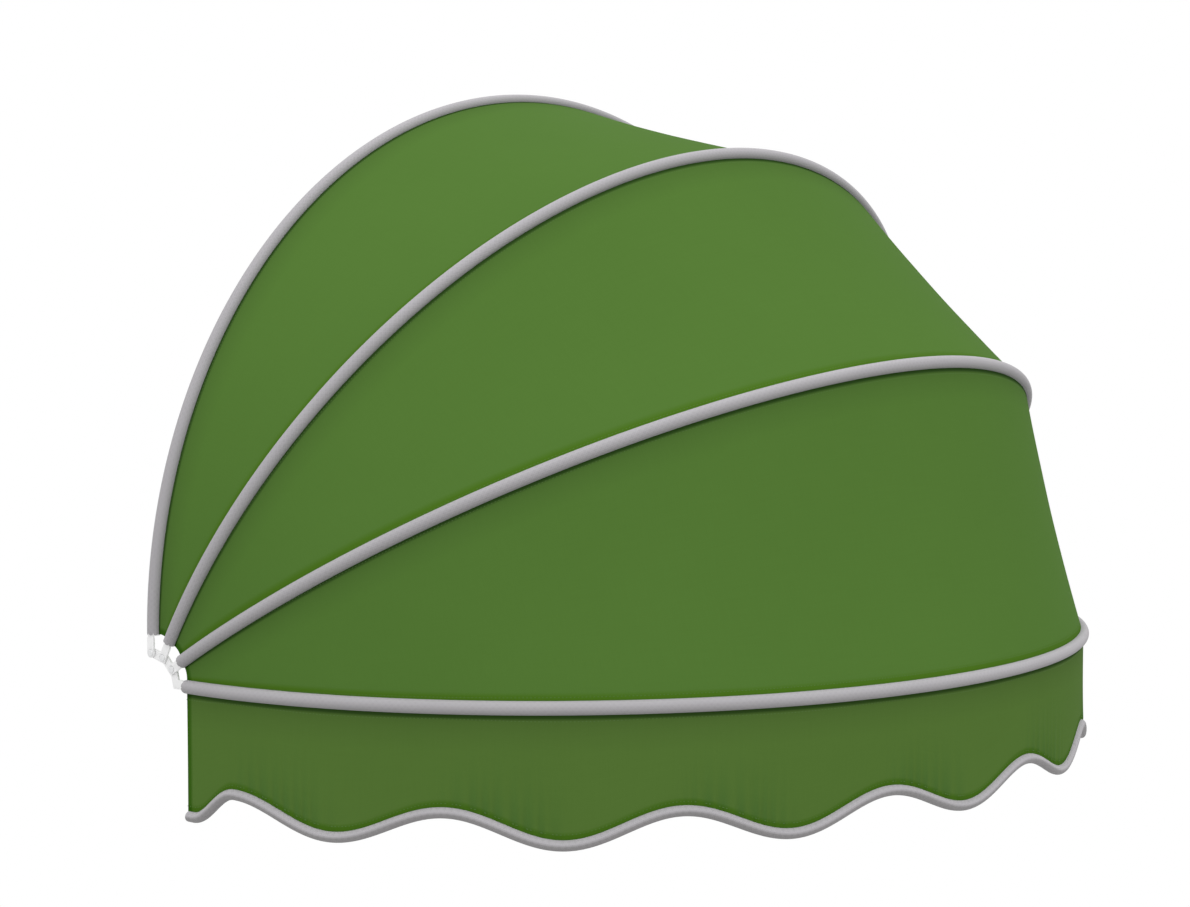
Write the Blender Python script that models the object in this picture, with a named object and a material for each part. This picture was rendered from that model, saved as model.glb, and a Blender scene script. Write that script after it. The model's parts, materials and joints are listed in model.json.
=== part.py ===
"""Hooped window awning: four equal arched hoops that fan out from the wall, with taut cloth between them.

The wall hoop is fixed to the wall by five saddles. The next three hoops hang on it in a chain: at each
end every hoop is pinned to the hinge plate of the hoop before it, so the awning folds up flat against
the wall, hoop against hoop. A scalloped valance with a piped hem hangs from the front hoop.

Metres, +Z up. The wall is the plane y = 0 and the awning stands out towards -Y. The origin is the place
where the crown saddle bears on the wall.
"""

import math

import bmesh
import bpy
import numpy as np
from mathutils import Matrix, Vector
from mathutils.geometry import tessellate_polygon

# Hoops: an arch of half an ellipse, whose ends point at the hub line
HALF_WIDTH = 0.900
HOOP_RISE = 0.840
HUB_TO_END = 0.071
FAN_PITCH = math.radians(30.0)
HOOPS = ("wall_hoop", "hoop_2", "hoop_3", "front_hoop")
TUBE_RADIUS = 0.0095
TUBE_WALL = 0.0015
TUBE_SIDES = 8
HOOP_SEGMENTS = 33
END_SEGMENT = 0.030

# Clearances
TOUCH = 0.0003
SLIDE = 0.0004

# Hinge plates and pins at the hoop ends
FOLDED_PITCH = 0.021
PLATE_THICK = 0.0030
PLATE_HALF = 0.0068
PLATE_SPACE = 0.0006
PLUG_LENGTH = 0.024
COLLAR_LENGTH = 0.0040
COLLAR_CHAMFER = 0.0010
PIN_RADIUS = 0.0030
PIN_HEAD_RADIUS = 0.0055
PIN_HEAD_THICK = 0.0020

# Saddles that fix the wall hoop
SADDLE_THICK = 0.0022
SADDLE_LENGTH = 0.040
SADDLE_FLANGE = 0.046
SADDLE_GRIP = math.radians(128.0)
WALL_HOLE_RADIUS = 0.0028
WALL_HOLE_IN = 0.035
MOUNT_IN = 0.022
SADDLE_SCREW_RADIUS = 0.0019
SADDLE_SCREW_DEPTH = 0.0060
BORE_TURN = math.radians(11.0)
SADDLE_HEAD_RADIUS = 0.0040
SADDLE_HEAD_THICK = 0.0022
FOOT_SADDLE_UP = 0.100
SHOULDER_SHARE = 0.25

# Cloth
CLOTH_THICK = 0.0008
CLOTH_SAG = 0.0070
GORE_STRIPS = 4
VALANCE_DEPTH = 0.162
SCALLOP_HEIGHT = 0.021
SCALLOPS = 8
END_SCALLOP = 0.090
END_LEVEL = 0.013
PIPING_RADIUS = 0.0075
PIPING_SIDES = 6
VALANCE_ROWS = 3

# Cord guides
CORD_X = 0.110
EYE_HALF = 0.0085
EYE_HOLE_RADIUS = 0.0042
EYE_THICK = 0.0030
EYE_DROP = 0.011
WHEEL_RADIUS = 0.012
WHEEL_WIDTH = 0.008
WHEEL_BORE = 0.0026
GROOVE_DEPTH = 0.0030
CHEEK_THICK = 0.0020
CHEEK_HALF_WIDTH = 0.009
AXLE_RADIUS = 0.0022
AXLE_HEAD_RADIUS = 0.0038
AXLE_HEAD_THICK = 0.0014

# Worked-out sizes
PIN_REACH = FOLDED_PITCH / math.sin(FAN_PITCH)
LEVEL_PITCH = PLATE_THICK + PLATE_SPACE

COLOURS = {
    "cloth_green": ((0.095, 0.205, 0.040, 1.0), 0.90, 0.0),
    "tube_grey": ((0.38, 0.36, 0.38, 1.0), 0.65, 0.0),
    "piping_grey": ((0.38, 0.36, 0.38, 1.0), 0.80, 0.0),
    "plate_white": ((0.80, 0.80, 0.80, 1.0), 0.45, 0.0),
    "zinc": ((0.62, 0.62, 0.62, 1.0), 0.35, 1.0),
    "nylon_white": ((0.78, 0.77, 0.74, 1.0), 0.50, 0.0),
}


def material(name):
    """The named material, made at its first use."""
    found = bpy.data.materials.get(name)
    if found:
        return found
    colour, roughness, metallic = COLOURS[name]
    made = bpy.data.materials.new(name)
    made.use_nodes = True
    shader = made.node_tree.nodes["Principled BSDF"]
    shader.inputs["Base Color"].default_value = colour
    shader.inputs["Roughness"].default_value = roughness
    shader.inputs["Metallic"].default_value = metallic
    return made


def add_object(name, bm, finish, smooth=True):
    """One named object from a bmesh, with its faces turned outwards."""
    bmesh.ops.recalc_face_normals(bm, faces=bm.faces)
    mesh = bpy.data.meshes.new(name)
    bm.to_mesh(mesh)
    bm.free()
    if smooth:
        mesh.shade_smooth()
        mesh.set_sharp_from_angle(angle=math.radians(40.0))
    piece = bpy.data.objects.new(name, mesh)
    bpy.context.scene.collection.objects.link(piece)
    mesh.materials.append(material(finish))
    return piece


def loft(rings, closed=False):
    """A solid through equal rings of points: with end caps, or closed round into a loop."""
    bm = bmesh.new()
    rows = [[bm.verts.new(point) for point in ring] for ring in rings]
    count = len(rows[0])
    following = rows[1:] + rows[:1] if closed else rows[1:]
    for row, after in zip(rows, following):
        for i in range(count):
            j = (i + 1) % count
            bm.faces.new((row[i], row[j], after[j], after[i]))
    if not closed:
        bm.faces.new(rows[0])
        bm.faces.new(rows[-1])
    return bm


def slab(outline, holes, low, high):
    """A flat plate with holes: its outline lies in x and y, and it reaches from low to high in z."""
    bm = bmesh.new()
    loops = [outline, *holes]
    flat = [Vector((x, y, 0.0)) for loop in loops for x, y in loop]
    bottom = [bm.verts.new((point.x, point.y, low)) for point in flat]
    top = [bm.verts.new((point.x, point.y, high)) for point in flat]
    whole = [range(len(outline))]
    faces = tessellate_polygon([[Vector((x, y, 0.0)) for x, y in loop] for loop in loops]) if holes else whole
    for corners in faces:
        bm.faces.new([bottom[i] for i in corners])
        bm.faces.new([top[i] for i in reversed(corners)])
    start = 0
    for loop in loops:
        count = len(loop)
        for i in range(count):
            a = start + i
            b = start + (i + 1) % count
            bm.faces.new((bottom[a], bottom[b], top[b], top[a]))
        start += count
    return bm


def circle(centre, radius, sides=10):
    """Corners of a round hole or eye, in the plane of a plate."""
    turn = 2.0 * math.pi / sides
    return [
        (centre[0] + radius * math.cos(i * turn), centre[1] + radius * math.sin(i * turn))
        for i in range(sides)
    ]


def turned(profile, sides, closed=False):
    """A turned piece about x: profile points are (x, radius)."""
    turn = 2.0 * math.pi / sides
    rings = [
        [Vector((x, radius * math.cos(i * turn), radius * math.sin(i * turn))) for i in range(sides)]
        for x, radius in profile
    ]
    return loft(rings, closed)


def cut(piece, cutter, operation="DIFFERENCE"):
    """Combines a helper solid with a piece through a Boolean, and hides the helper."""
    cutter.hide_render = True
    cutter.display_type = "WIRE"
    step = piece.modifiers.new(cutter.name, "BOOLEAN")
    step.operation = operation
    step.solver = "EXACT"
    step.object = cutter


def rivet(name, radius, head_radius, head_thick, low, high, finish="zinc"):
    """A pin along x between two faces, with a head beyond each."""
    profile = [
        (low - TOUCH - head_thick, head_radius * 0.7),
        (low - TOUCH - head_thick * 0.4, head_radius),
        (low - TOUCH, head_radius),
        (low - TOUCH, radius),
        (high + TOUCH, radius),
        (high + TOUCH, head_radius),
        (high + TOUCH + head_thick * 0.4, head_radius),
        (high + TOUCH + head_thick, head_radius * 0.7),
    ]
    return add_object(name, turned(profile, 8), finish)


class Arch:
    """The hoops' centreline, by length along it: x across the wall, y out from the hub line."""

    def __init__(self):
        turn = np.linspace(0.0, math.pi, 4001)
        self.x = HALF_WIDTH * np.cos(turn)
        self.y = HUB_TO_END + HOOP_RISE * np.sin(turn)
        steps = np.hypot(np.diff(self.x), np.diff(self.y))
        self.along = np.concatenate([[0.0], np.cumsum(steps)])
        self.length = float(self.along[-1])

    def point(self, along):
        """The point at a length from the right-hand end."""
        return Vector((np.interp(along, self.along, self.x), np.interp(along, self.along, self.y), 0.0))

    def stations(self):
        """Lengths of the tube's corners: a short first and last run that stays straight for the plugs."""
        middle = np.linspace(END_SEGMENT, self.length - END_SEGMENT, HOOP_SEGMENTS - 1)
        return [0.0, *middle.tolist(), self.length]

    def run(self, along):
        """The start and end of the tube's straight run that holds a length along the arch."""
        corners = self.stations()
        i = min(int(np.searchsorted(corners, along, side="right")) - 1, len(corners) - 2)
        return corners[i], corners[i + 1]

    def on_tube(self, along):
        """The point of the tube's middle line at a length along the arch."""
        first, last = self.run(along)
        return self.point(first).lerp(self.point(last), (along - first) / (last - first))

    def inward(self, along):
        """The unit direction from the tube to the inside of the arch."""
        first, last = self.run(along)
        ahead = (self.point(last) - self.point(first)).normalized()
        return Vector((-ahead.y, ahead.x, 0.0))


ARCH = Arch()
HUB_TO_WALL = TUBE_RADIUS + SLIDE + SADDLE_THICK
HUB = Vector((0.0, -HUB_TO_WALL, MOUNT_IN - ARCH.on_tube(ARCH.length / 2.0).y))


def tube_rings(points, radius, sides):
    """Rings of a tube round a line of points in the hoop's plane, mitred at each corner."""
    rings = []
    last = len(points) - 1
    for i, here in enumerate(points):
        back = (here - points[max(i - 1, 0)]).normalized() if i else None
        ahead = (points[i + 1] - here).normalized() if i < last else None
        along = ((back or ahead) + (ahead or back)).normalized()
        across = Vector((-along.y, along.x, 0.0))
        stretch = 1.0 if back is None or ahead is None else 1.0 / math.cos(back.angle(ahead) / 2.0)
        rings.append([
            here
            + across * (radius * stretch * math.cos(2.0 * math.pi * k / sides))
            + Vector((0.0, 0.0, radius * math.sin(2.0 * math.pi * k / sides)))
            for k in range(sides)
        ])
    return rings


def hub_frame(order):
    """Where a hoop's own frame lies: x along the wall, y out along the hoop, z towards the next hoop."""
    return Matrix.Translation(HUB) @ Matrix.Rotation(math.pi / 2.0 + order * FAN_PITCH, 4, "X")


def pin_to_next():
    """The pin that carries the next hoop, in a hoop's own frame."""
    return Vector((0.0, PIN_REACH, 0.0))


def pin_to_last():
    """The pin on the hoop before, in a hoop's own frame."""
    return Vector((0.0, PIN_REACH * math.cos(FAN_PITCH), -PIN_REACH * math.sin(FAN_PITCH)))


def add_frames():
    """A chain of empties, one for each hoop, each on the axis that its hoop turns about."""
    frames = []
    for order, name in enumerate(HOOPS):
        empty = bpy.data.objects.new(name + "_frame", None)
        bpy.context.scene.collection.objects.link(empty)
        pivot = pin_to_last() if order else Vector()
        place = hub_frame(order) @ Matrix.Translation(pivot)
        if order:
            before = frames[-1]
            empty.parent = before["empty"]
            empty.matrix_basis = before["place"].inverted() @ place
        else:
            empty.matrix_basis = place
        frames.append({"empty": empty, "place": place, "pivot": pivot})
    return frames


def attach(piece, frame, place=None):
    """Hangs a piece on its hoop's empty; place is where it sits in the hoop's own frame."""
    piece.parent = frame["empty"]
    piece.matrix_basis = Matrix.Translation(-frame["pivot"]) @ (place or Matrix.Identity(4))


def add_hoop(order, frame):
    """A bent round tube, open at both ends."""
    points = [ARCH.point(along) for along in ARCH.stations()]
    outer = tube_rings(points, TUBE_RADIUS, TUBE_SIDES)
    inner = tube_rings(points, TUBE_RADIUS - TUBE_WALL, TUBE_SIDES)
    hoop = add_object(HOOPS[order], loft(outer + inner[::-1], closed=True), "tube_grey")
    attach(hoop, frame)
    return hoop


def stroke(points, half):
    """The outline of a bent strip of even width with round ends, as (x, y) corners."""
    path = [Vector(p) for p in points]
    left, right = [], []
    last = len(path) - 1
    for i, here in enumerate(path):
        back = (here - path[max(i - 1, 0)]).normalized() if i else None
        ahead = (path[i + 1] - here).normalized() if i < last else None
        along = ((back or ahead) + (ahead or back)).normalized()
        side = Vector((-along.y, along.x))
        wide = half if back is None or ahead is None else half / math.cos(back.angle(ahead) / 2.0)
        left.append(here + side * wide)
        right.append(here - side * wide)

    def round_end(centre, start):
        arm = start - centre
        return [centre + Matrix.Rotation(-math.pi * k / 6.0, 2) @ arm for k in range(1, 6)]

    outline = left + round_end(path[-1], left[-1]) + right[::-1] + round_end(path[0], right[0])
    return [(p.x, p.y) for p in outline]


def level(order):
    """How far a hoop's hinge plate lies outboard of the tube's middle."""
    return (1.5 - order) * LEVEL_PITCH


def add_end_fitting(order, side, side_name, frame):
    """The plug and collar in a tube's end, in one piece with its hinge plate."""
    start, second = (ARCH.point(along) for along in ARCH.stations()[:2])
    along = (second - start).normalized()
    plug_radius = TUBE_RADIUS - TUBE_WALL - TOUCH

    def ring(distance, radius):
        centre = start + along * distance
        return tube_rings([centre, centre + along], radius, TUBE_SIDES)[0]

    rings = [
        ring(PLUG_LENGTH, plug_radius),
        ring(-TOUCH, plug_radius),
        ring(-TOUCH, TUBE_RADIUS),
        ring(-TOUCH - COLLAR_LENGTH + COLLAR_CHAMFER, TUBE_RADIUS),
        ring(-TOUCH - COLLAR_LENGTH, TUBE_RADIUS - COLLAR_CHAMFER),
    ]
    name = f"{HOOPS[order]}_{side_name}_end"
    fitting = add_object(name, loft(rings), "plate_white")
    into_collar = (HUB_TO_END - 0.5 * COLLAR_LENGTH - PLATE_HALF, 0.0)
    next_pin = (PIN_REACH, 0.0)
    last_pin = (pin_to_last().y, pin_to_last().z)
    path, holes = {
        0: ([next_pin, into_collar], [next_pin]),
        len(HOOPS) - 1: ([last_pin, next_pin, into_collar], [last_pin]),
    }.get(order, ([last_pin, next_pin, into_collar], [last_pin, next_pin]))
    outline = stroke(path, PLATE_HALF)
    middle = HALF_WIDTH + level(order)
    bored = [circle(hole, PIN_RADIUS + TOUCH) for hole in holes]
    plate_mesh = slab(outline, bored, middle - PLATE_THICK / 2.0, middle + PLATE_THICK / 2.0)
    plate_mesh.transform(Matrix(((0, 0, 1, 0), (1, 0, 0, 0), (0, 1, 0, 0), (0, 0, 0, 1))))
    plate = add_object(name + "_plate_helper", plate_mesh, "plate_white")
    if side < 0:
        mirror_mesh(fitting)
        mirror_mesh(plate)
    attach(fitting, frame)
    plate.parent = fitting
    cut(fitting, plate, "UNION")


def mirror_mesh(piece):
    """Mirrors a mesh from the right-hand side to the left, with its faces kept outwards."""
    piece.data.transform(Matrix.Scale(-1.0, 4, Vector((1, 0, 0))))
    piece.data.flip_normals()


def add_hinge_pins(frames):
    """The rivets on which the hoops turn, two to a joint."""
    for order in range(1, len(HOOPS)):
        outer = HALF_WIDTH + level(order - 1) + PLATE_THICK / 2.0
        inner = HALF_WIDTH + level(order) - PLATE_THICK / 2.0
        for side, side_name in ((-1, "left"), (1, "right")):
            name = f"{HOOPS[order]}_{side_name}_pin"
            pin = rivet(name, PIN_RADIUS, PIN_HEAD_RADIUS, PIN_HEAD_THICK, inner, outer)
            if side < 0:
                mirror_mesh(pin)
            attach(pin, frames[order - 1], Matrix.Translation(pin_to_next()))


def saddle_outline():
    """A saddle's section: x runs inwards from the tube's middle, y towards the wall."""
    outer = TUBE_RADIUS + SLIDE + SADDLE_THICK
    inner = TUBE_RADIUS + SLIDE
    leave = math.acos((outer - SADDLE_THICK) / outer)

    def arc(radius, first, last, steps):
        turns = np.linspace(first, last, steps)
        return [(radius * math.sin(t), radius * math.cos(t)) for t in turns]

    flange = [(0.0, outer), (SADDLE_FLANGE, outer), (SADDLE_FLANGE, outer - SADDLE_THICK)]
    return flange + arc(outer, leave, SADDLE_GRIP, 6) + arc(inner, SADDLE_GRIP, 0.0, 7)


def seat(along):
    """A frame on the middle of a straight run of tube: x inwards, y to the hoop before, z along the tube."""
    inward = ARCH.inward(along)
    back = Vector((0.0, 0.0, -1.0))
    turn = Matrix((inward, back, inward.cross(back))).transposed().to_4x4()
    first, last = ARCH.run(along)
    return Matrix.Translation(ARCH.on_tube((first + last) / 2.0)) @ turn


def add_saddle(name, along, wall_hoop, frame):
    """A bent plate that cradles the wall hoop, and the screw that holds the tube in it."""
    half = SADDLE_LENGTH / 2.0
    place = seat(along)
    saddle = add_object(name + "_saddle", slab(saddle_outline(), [], -half, half), "plate_white")
    attach(saddle, frame, place)
    grip = TUBE_RADIUS + SLIDE + SADDLE_THICK
    wall_hole = add_object(
        name + "_wall_hole_helper",
        slab(circle((0.0, 0.0), WALL_HOLE_RADIUS), [], -SADDLE_THICK, SADDLE_THICK),
        "zinc",
    )
    flat = Matrix.Rotation(math.pi / 2.0, 4, "X")
    attach(wall_hole, frame, place @ Matrix.Translation((WALL_HOLE_IN, grip - SADDLE_THICK / 2.0, 0.0)) @ flat)
    cut(saddle, wall_hole)
    bore_radius = SADDLE_SCREW_RADIUS + TOUCH
    bore_ends = [(SADDLE_SCREW_DEPTH - SADDLE_THICK, bore_radius), (grip + SADDLE_THICK, bore_radius)]
    bore = add_object(name + "_bore_helper", turned(bore_ends, 8), "zinc")
    attach(bore, frame, place @ Matrix.Rotation(BORE_TURN, 4, "X"))
    cut(saddle, bore)
    cut(wall_hoop, bore)
    screw = add_object(
        name + "_screw",
        turned([(SADDLE_SCREW_DEPTH, SADDLE_SCREW_RADIUS * 0.5),
                (SADDLE_SCREW_DEPTH + SADDLE_SCREW_RADIUS, SADDLE_SCREW_RADIUS),
                (grip + TOUCH, SADDLE_SCREW_RADIUS),
                (grip + TOUCH, SADDLE_HEAD_RADIUS),
                (grip + TOUCH + SADDLE_HEAD_THICK * 0.5, SADDLE_HEAD_RADIUS),
                (grip + TOUCH + SADDLE_HEAD_THICK, SADDLE_HEAD_RADIUS * 0.6)], 8),
        "zinc",
    )
    attach(screw, frame, place)


def add_saddles(wall_hoop, frame):
    """Five saddles: at the crown, on both shoulders and above both feet."""
    full = ARCH.length
    for name, along in (
        ("crown", full / 2.0),
        ("right_shoulder", full * SHOULDER_SHARE),
        ("left_shoulder", full * (1.0 - SHOULDER_SHARE)),
        ("right_foot", FOOT_SADDLE_UP),
        ("left_foot", full - FOOT_SADDLE_UP),
    ):
        add_saddle(name, along, wall_hoop, frame)


def thicken(sheet):
    """Gives a cloth sheet its thickness, the same on both sides."""
    solid = sheet.modifiers.new("thickness", "SOLIDIFY")
    solid.thickness = CLOTH_THICK
    solid.offset = 0.0


def sheet_mesh(rows):
    """A grid of quads through rows of points."""
    bm = bmesh.new()
    made = [[bm.verts.new(point) for point in row] for row in rows]
    for row, after in zip(made, made[1:]):
        for i in range(len(row) - 1):
            bm.faces.new((row[i], row[i + 1], after[i + 1], after[i]))
    return bm


def add_gore(order, frame):
    """The cloth from a hoop to the one before it, slightly hollow between them."""
    to_last = Matrix.Rotation(-FAN_PITCH, 3, "X")
    to_hub = Matrix.Rotation(-FAN_PITCH / 2.0, 3, "X") @ Vector((0.0, -1.0, 0.0))
    widest = 2.0 * (HUB_TO_END + HOOP_RISE) * math.sin(FAN_PITCH / 2.0)
    rows = []
    for along in ARCH.stations():
        here = ARCH.point(along)
        there = Vector((here.x, *(to_last @ here).yz))
        across = there - here
        edge = across.normalized() * ((TUBE_RADIUS + TOUCH) / math.cos(FAN_PITCH / 2.0))
        sag = CLOTH_SAG * across.length / widest
        row = []
        for k in range(GORE_STRIPS + 1):
            share = k / GORE_STRIPS
            flat = (here + edge).lerp(there - edge, share)
            row.append(flat + to_hub * (4.0 * sag * share * (1.0 - share)))
        rows.append(row)
    gore = add_object(f"gore_{order}", sheet_mesh(rows), "cloth_green")
    thicken(gore)
    attach(gore, frame)


def hem_depth(along):
    """How far the middle of the hem piping lies below the front hoop's middle."""
    full = ARCH.length
    from_end = min(along, full - along)
    if from_end < END_SCALLOP:
        rise = max(from_end - END_LEVEL, 0.0) / (END_SCALLOP - END_LEVEL)
        return VALANCE_DEPTH + SCALLOP_HEIGHT * math.cos(math.pi * rise)
    pitch = (full - 2.0 * END_SCALLOP) / SCALLOPS
    return VALANCE_DEPTH - SCALLOP_HEIGHT * math.cos(2.0 * math.pi * (from_end - END_SCALLOP) / pitch)


def hem_stations():
    """Lengths along the front hoop where the valance has its corners: each tube segment is halved."""
    ends = ARCH.stations()
    halves = [(a + b) / 2.0 for a, b in zip(ends, ends[1:])]
    return sorted(ends + halves)


def hem_line():
    """The hem's middle at each corner of the valance."""
    return [ARCH.on_tube(along) + Vector((0.0, 0.0, hem_depth(along))) for along in hem_stations()]


def add_valance(frame):
    """The scalloped cloth that hangs from the front hoop."""
    top = TUBE_RADIUS + TOUCH
    piping_top = PIPING_RADIUS * math.cos(math.pi / PIPING_SIDES)
    line = hem_line()
    level = [(b - a).normalized().xy.length for a, b in zip(line, line[1:])]
    rows = []
    for i, along in enumerate(hem_stations()):
        place = ARCH.on_tube(along)
        steepest = min(level[max(i - 1, 0):i + 1])
        bottom = hem_depth(along) - (piping_top + TOUCH) / steepest
        rows.append([
            place + Vector((0.0, 0.0, top + (bottom - top) * k / (VALANCE_ROWS - 1)))
            for k in range(VALANCE_ROWS)
        ])
    valance = add_object("valance", sheet_mesh(rows), "cloth_green")
    thicken(valance)
    attach(valance, frame)


def add_piping(frame):
    """The padded binding round the scalloped hem."""
    line = hem_line()
    rings = []
    for i, along in enumerate(hem_stations()):
        ahead = (line[min(i + 1, len(line) - 1)] - line[max(i - 1, 0)]).normalized()
        sideways = ARCH.inward(along)
        sideways = (sideways - ahead * sideways.dot(ahead)).normalized()
        upright = ahead.cross(sideways)
        rings.append([
            line[i]
            + sideways * (PIPING_RADIUS * math.cos(2.0 * math.pi * k / PIPING_SIDES))
            + upright * (PIPING_RADIUS * math.sin(2.0 * math.pi * k / PIPING_SIDES))
            for k in range(PIPING_SIDES)
        ])
    attach(add_object("hem_piping", loft(rings), "piping_grey"), frame)


def cord_seat():
    """The seat for the cord guides, on a hoop's inner side to the right of its crown."""
    return seat(float(np.interp(-CORD_X, -ARCH.x, ARCH.along)))


def add_cord_eye(order, frame):
    """A tab with a hole for the pull cord, on a hoop's inner side."""
    foot = TUBE_RADIUS + TOUCH
    hole = (foot + EYE_DROP, 0.0)
    arc = [(hole[0] + EYE_HALF * math.cos(t), EYE_HALF * math.sin(t)) for t in np.linspace(-math.pi / 2, math.pi / 2, 8)]
    outline = [(foot, -EYE_HALF), *arc, (foot, EYE_HALF)]
    tab = slab(outline, [circle(hole, EYE_HOLE_RADIUS)], -EYE_THICK / 2.0, EYE_THICK / 2.0)
    tab.transform(Matrix.Rotation(math.pi / 2.0, 4, "X"))
    attach(add_object(f"{HOOPS[order]}_cord_eye", tab, "zinc"), frame, cord_seat())


def add_pulley(frame):
    """A small pulley under the crown of the wall hoop: a folded strap, a grooved wheel and its axle."""
    place = cord_seat()
    inside = WHEEL_WIDTH / 2.0 + SLIDE
    outside = inside + CHEEK_THICK
    top = TUBE_RADIUS + TOUCH
    axle_in = top + CHEEK_THICK + 2.0 * SLIDE + WHEEL_RADIUS
    tip = axle_in + AXLE_HEAD_RADIUS + CHEEK_THICK
    section = [
        (top, -outside), (tip, -outside), (tip, -inside), (top + CHEEK_THICK, -inside),
        (top + CHEEK_THICK, inside), (tip, inside), (tip, outside), (top, outside),
    ]
    strap_mesh = slab(section, [], -CHEEK_HALF_WIDTH, CHEEK_HALF_WIDTH)
    strap_mesh.transform(Matrix.Rotation(math.pi / 2.0, 4, "X"))
    strap = add_object("pulley_strap", strap_mesh, "zinc")
    attach(strap, frame, place)
    sideways = Matrix.Rotation(-math.pi / 2.0, 4, "Y")
    axis = place @ Matrix.Translation((axle_in, 0.0, 0.0)) @ sideways
    hole = add_object(
        "pulley_bore_helper",
        turned([(-2.0 * outside, AXLE_RADIUS + TOUCH), (2.0 * outside, AXLE_RADIUS + TOUCH)], 10),
        "zinc",
    )
    attach(hole, frame, axis)
    cut(strap, hole)
    half = WHEEL_WIDTH / 2.0
    rim = half * 0.7
    wheel = add_object(
        "pulley_wheel",
        turned([(-half, WHEEL_BORE), (-half, WHEEL_RADIUS), (-rim, WHEEL_RADIUS), (0.0, WHEEL_RADIUS - GROOVE_DEPTH),
                (rim, WHEEL_RADIUS), (half, WHEEL_RADIUS), (half, WHEEL_BORE)], 14, closed=True),
        "nylon_white",
    )
    attach(wheel, frame, axis)
    axle = rivet("pulley_axle", AXLE_RADIUS, AXLE_HEAD_RADIUS, AXLE_HEAD_THICK, -outside, outside)
    attach(axle, frame, axis)


def main():
    """Builds the awning, open as it hangs in use."""
    for old in list(bpy.data.objects):
        bpy.data.objects.remove(old)
    frames = add_frames()
    hoops = [add_hoop(order, frame) for order, frame in enumerate(frames)]
    for order, frame in enumerate(frames):
        for side, side_name in ((-1, "left"), (1, "right")):
            add_end_fitting(order, side, side_name, frame)
    add_hinge_pins(frames)
    add_saddles(hoops[0], frames[0])
    add_pulley(frames[0])
    for order in range(1, len(HOOPS)):
        add_gore(order, frames[order])
        add_cord_eye(order, frames[order])
    add_valance(frames[-1])
    add_piping(frames[-1])


main()
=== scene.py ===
# %% [markdown]
# # A hooped window awning
#
# A basket awning is a fan of equal hoops with cloth stretched between them. The wall hoop is screwed to
# the wall, the front hoop stands out level, and two more share the quarter turn between them. The solids
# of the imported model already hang, fold and weigh what they should. This script gives them their looks:
# it loads those solids as a fixed frame, and builds every visible piece again, finely, in the same place.
#
# Most of the awning follows a rule. A hoop is half an ellipse, a gore is a sheet ruled between two hoops,
# and the hem is a wave along the front hoop. So Geometry Nodes make these, from a few named sizes.

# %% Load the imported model
import json
import math

import bmesh
import bpy
from mathutils import Matrix, Vector

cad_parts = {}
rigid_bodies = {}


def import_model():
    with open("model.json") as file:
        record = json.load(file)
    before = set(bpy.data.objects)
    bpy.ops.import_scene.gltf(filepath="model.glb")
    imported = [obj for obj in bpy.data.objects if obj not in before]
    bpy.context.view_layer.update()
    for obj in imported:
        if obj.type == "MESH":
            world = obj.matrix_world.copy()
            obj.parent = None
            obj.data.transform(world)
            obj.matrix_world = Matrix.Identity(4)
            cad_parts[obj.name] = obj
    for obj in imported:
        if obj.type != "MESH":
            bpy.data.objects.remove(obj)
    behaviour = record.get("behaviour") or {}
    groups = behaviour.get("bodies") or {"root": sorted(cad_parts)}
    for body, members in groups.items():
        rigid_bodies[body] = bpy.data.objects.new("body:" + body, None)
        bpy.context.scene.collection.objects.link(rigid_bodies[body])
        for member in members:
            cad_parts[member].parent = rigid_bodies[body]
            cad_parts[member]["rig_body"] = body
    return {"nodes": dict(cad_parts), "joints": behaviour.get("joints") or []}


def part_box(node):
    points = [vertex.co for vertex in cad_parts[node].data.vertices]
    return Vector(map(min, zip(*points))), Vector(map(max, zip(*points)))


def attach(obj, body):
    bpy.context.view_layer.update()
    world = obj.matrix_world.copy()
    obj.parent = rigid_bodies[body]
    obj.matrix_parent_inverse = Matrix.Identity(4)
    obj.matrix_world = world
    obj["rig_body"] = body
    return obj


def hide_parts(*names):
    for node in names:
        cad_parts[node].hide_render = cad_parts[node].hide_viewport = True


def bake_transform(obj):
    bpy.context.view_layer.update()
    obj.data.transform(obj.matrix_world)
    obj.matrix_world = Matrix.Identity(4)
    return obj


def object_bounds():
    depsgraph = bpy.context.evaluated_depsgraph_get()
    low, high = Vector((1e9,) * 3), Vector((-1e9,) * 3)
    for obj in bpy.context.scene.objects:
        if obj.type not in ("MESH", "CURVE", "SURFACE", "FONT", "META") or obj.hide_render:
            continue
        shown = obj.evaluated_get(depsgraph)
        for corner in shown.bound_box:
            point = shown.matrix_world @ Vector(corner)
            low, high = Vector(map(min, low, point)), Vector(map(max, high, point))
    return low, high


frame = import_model()
cad_box = [list(corner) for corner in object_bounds()]

# %% [markdown]
# ## Sizes
#
# All lengths are in metres. The wall is the plane y = 0, and the awning stands out towards -Y. The four
# hoops turn about nearly one line, the hub line, which runs along the wall below the tubes' ends. The
# tube's radius and the awning's width are measured on the solids, so they can't drift from them.

# %% Sizes of the hoops
hoop_low, hoop_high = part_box("wall_hoop")
TUBE_RADIUS = (hoop_high.y - hoop_low.y) / 2.0
HALF_WIDTH = hoop_high.x - TUBE_RADIUS
HOOP_RISE = 0.840
HUB_TO_END = 0.071
HUB = Vector((0.0, (hoop_low.y + hoop_high.y) / 2.0, -0.888036))
FAN_PITCH = math.radians(30.0)
HOOPS = ("wall_hoop", "hoop_2", "hoop_3", "front_hoop")
BODIES = ("wall_frame", "bow_2", "bow_3", "front_bow")


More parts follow.
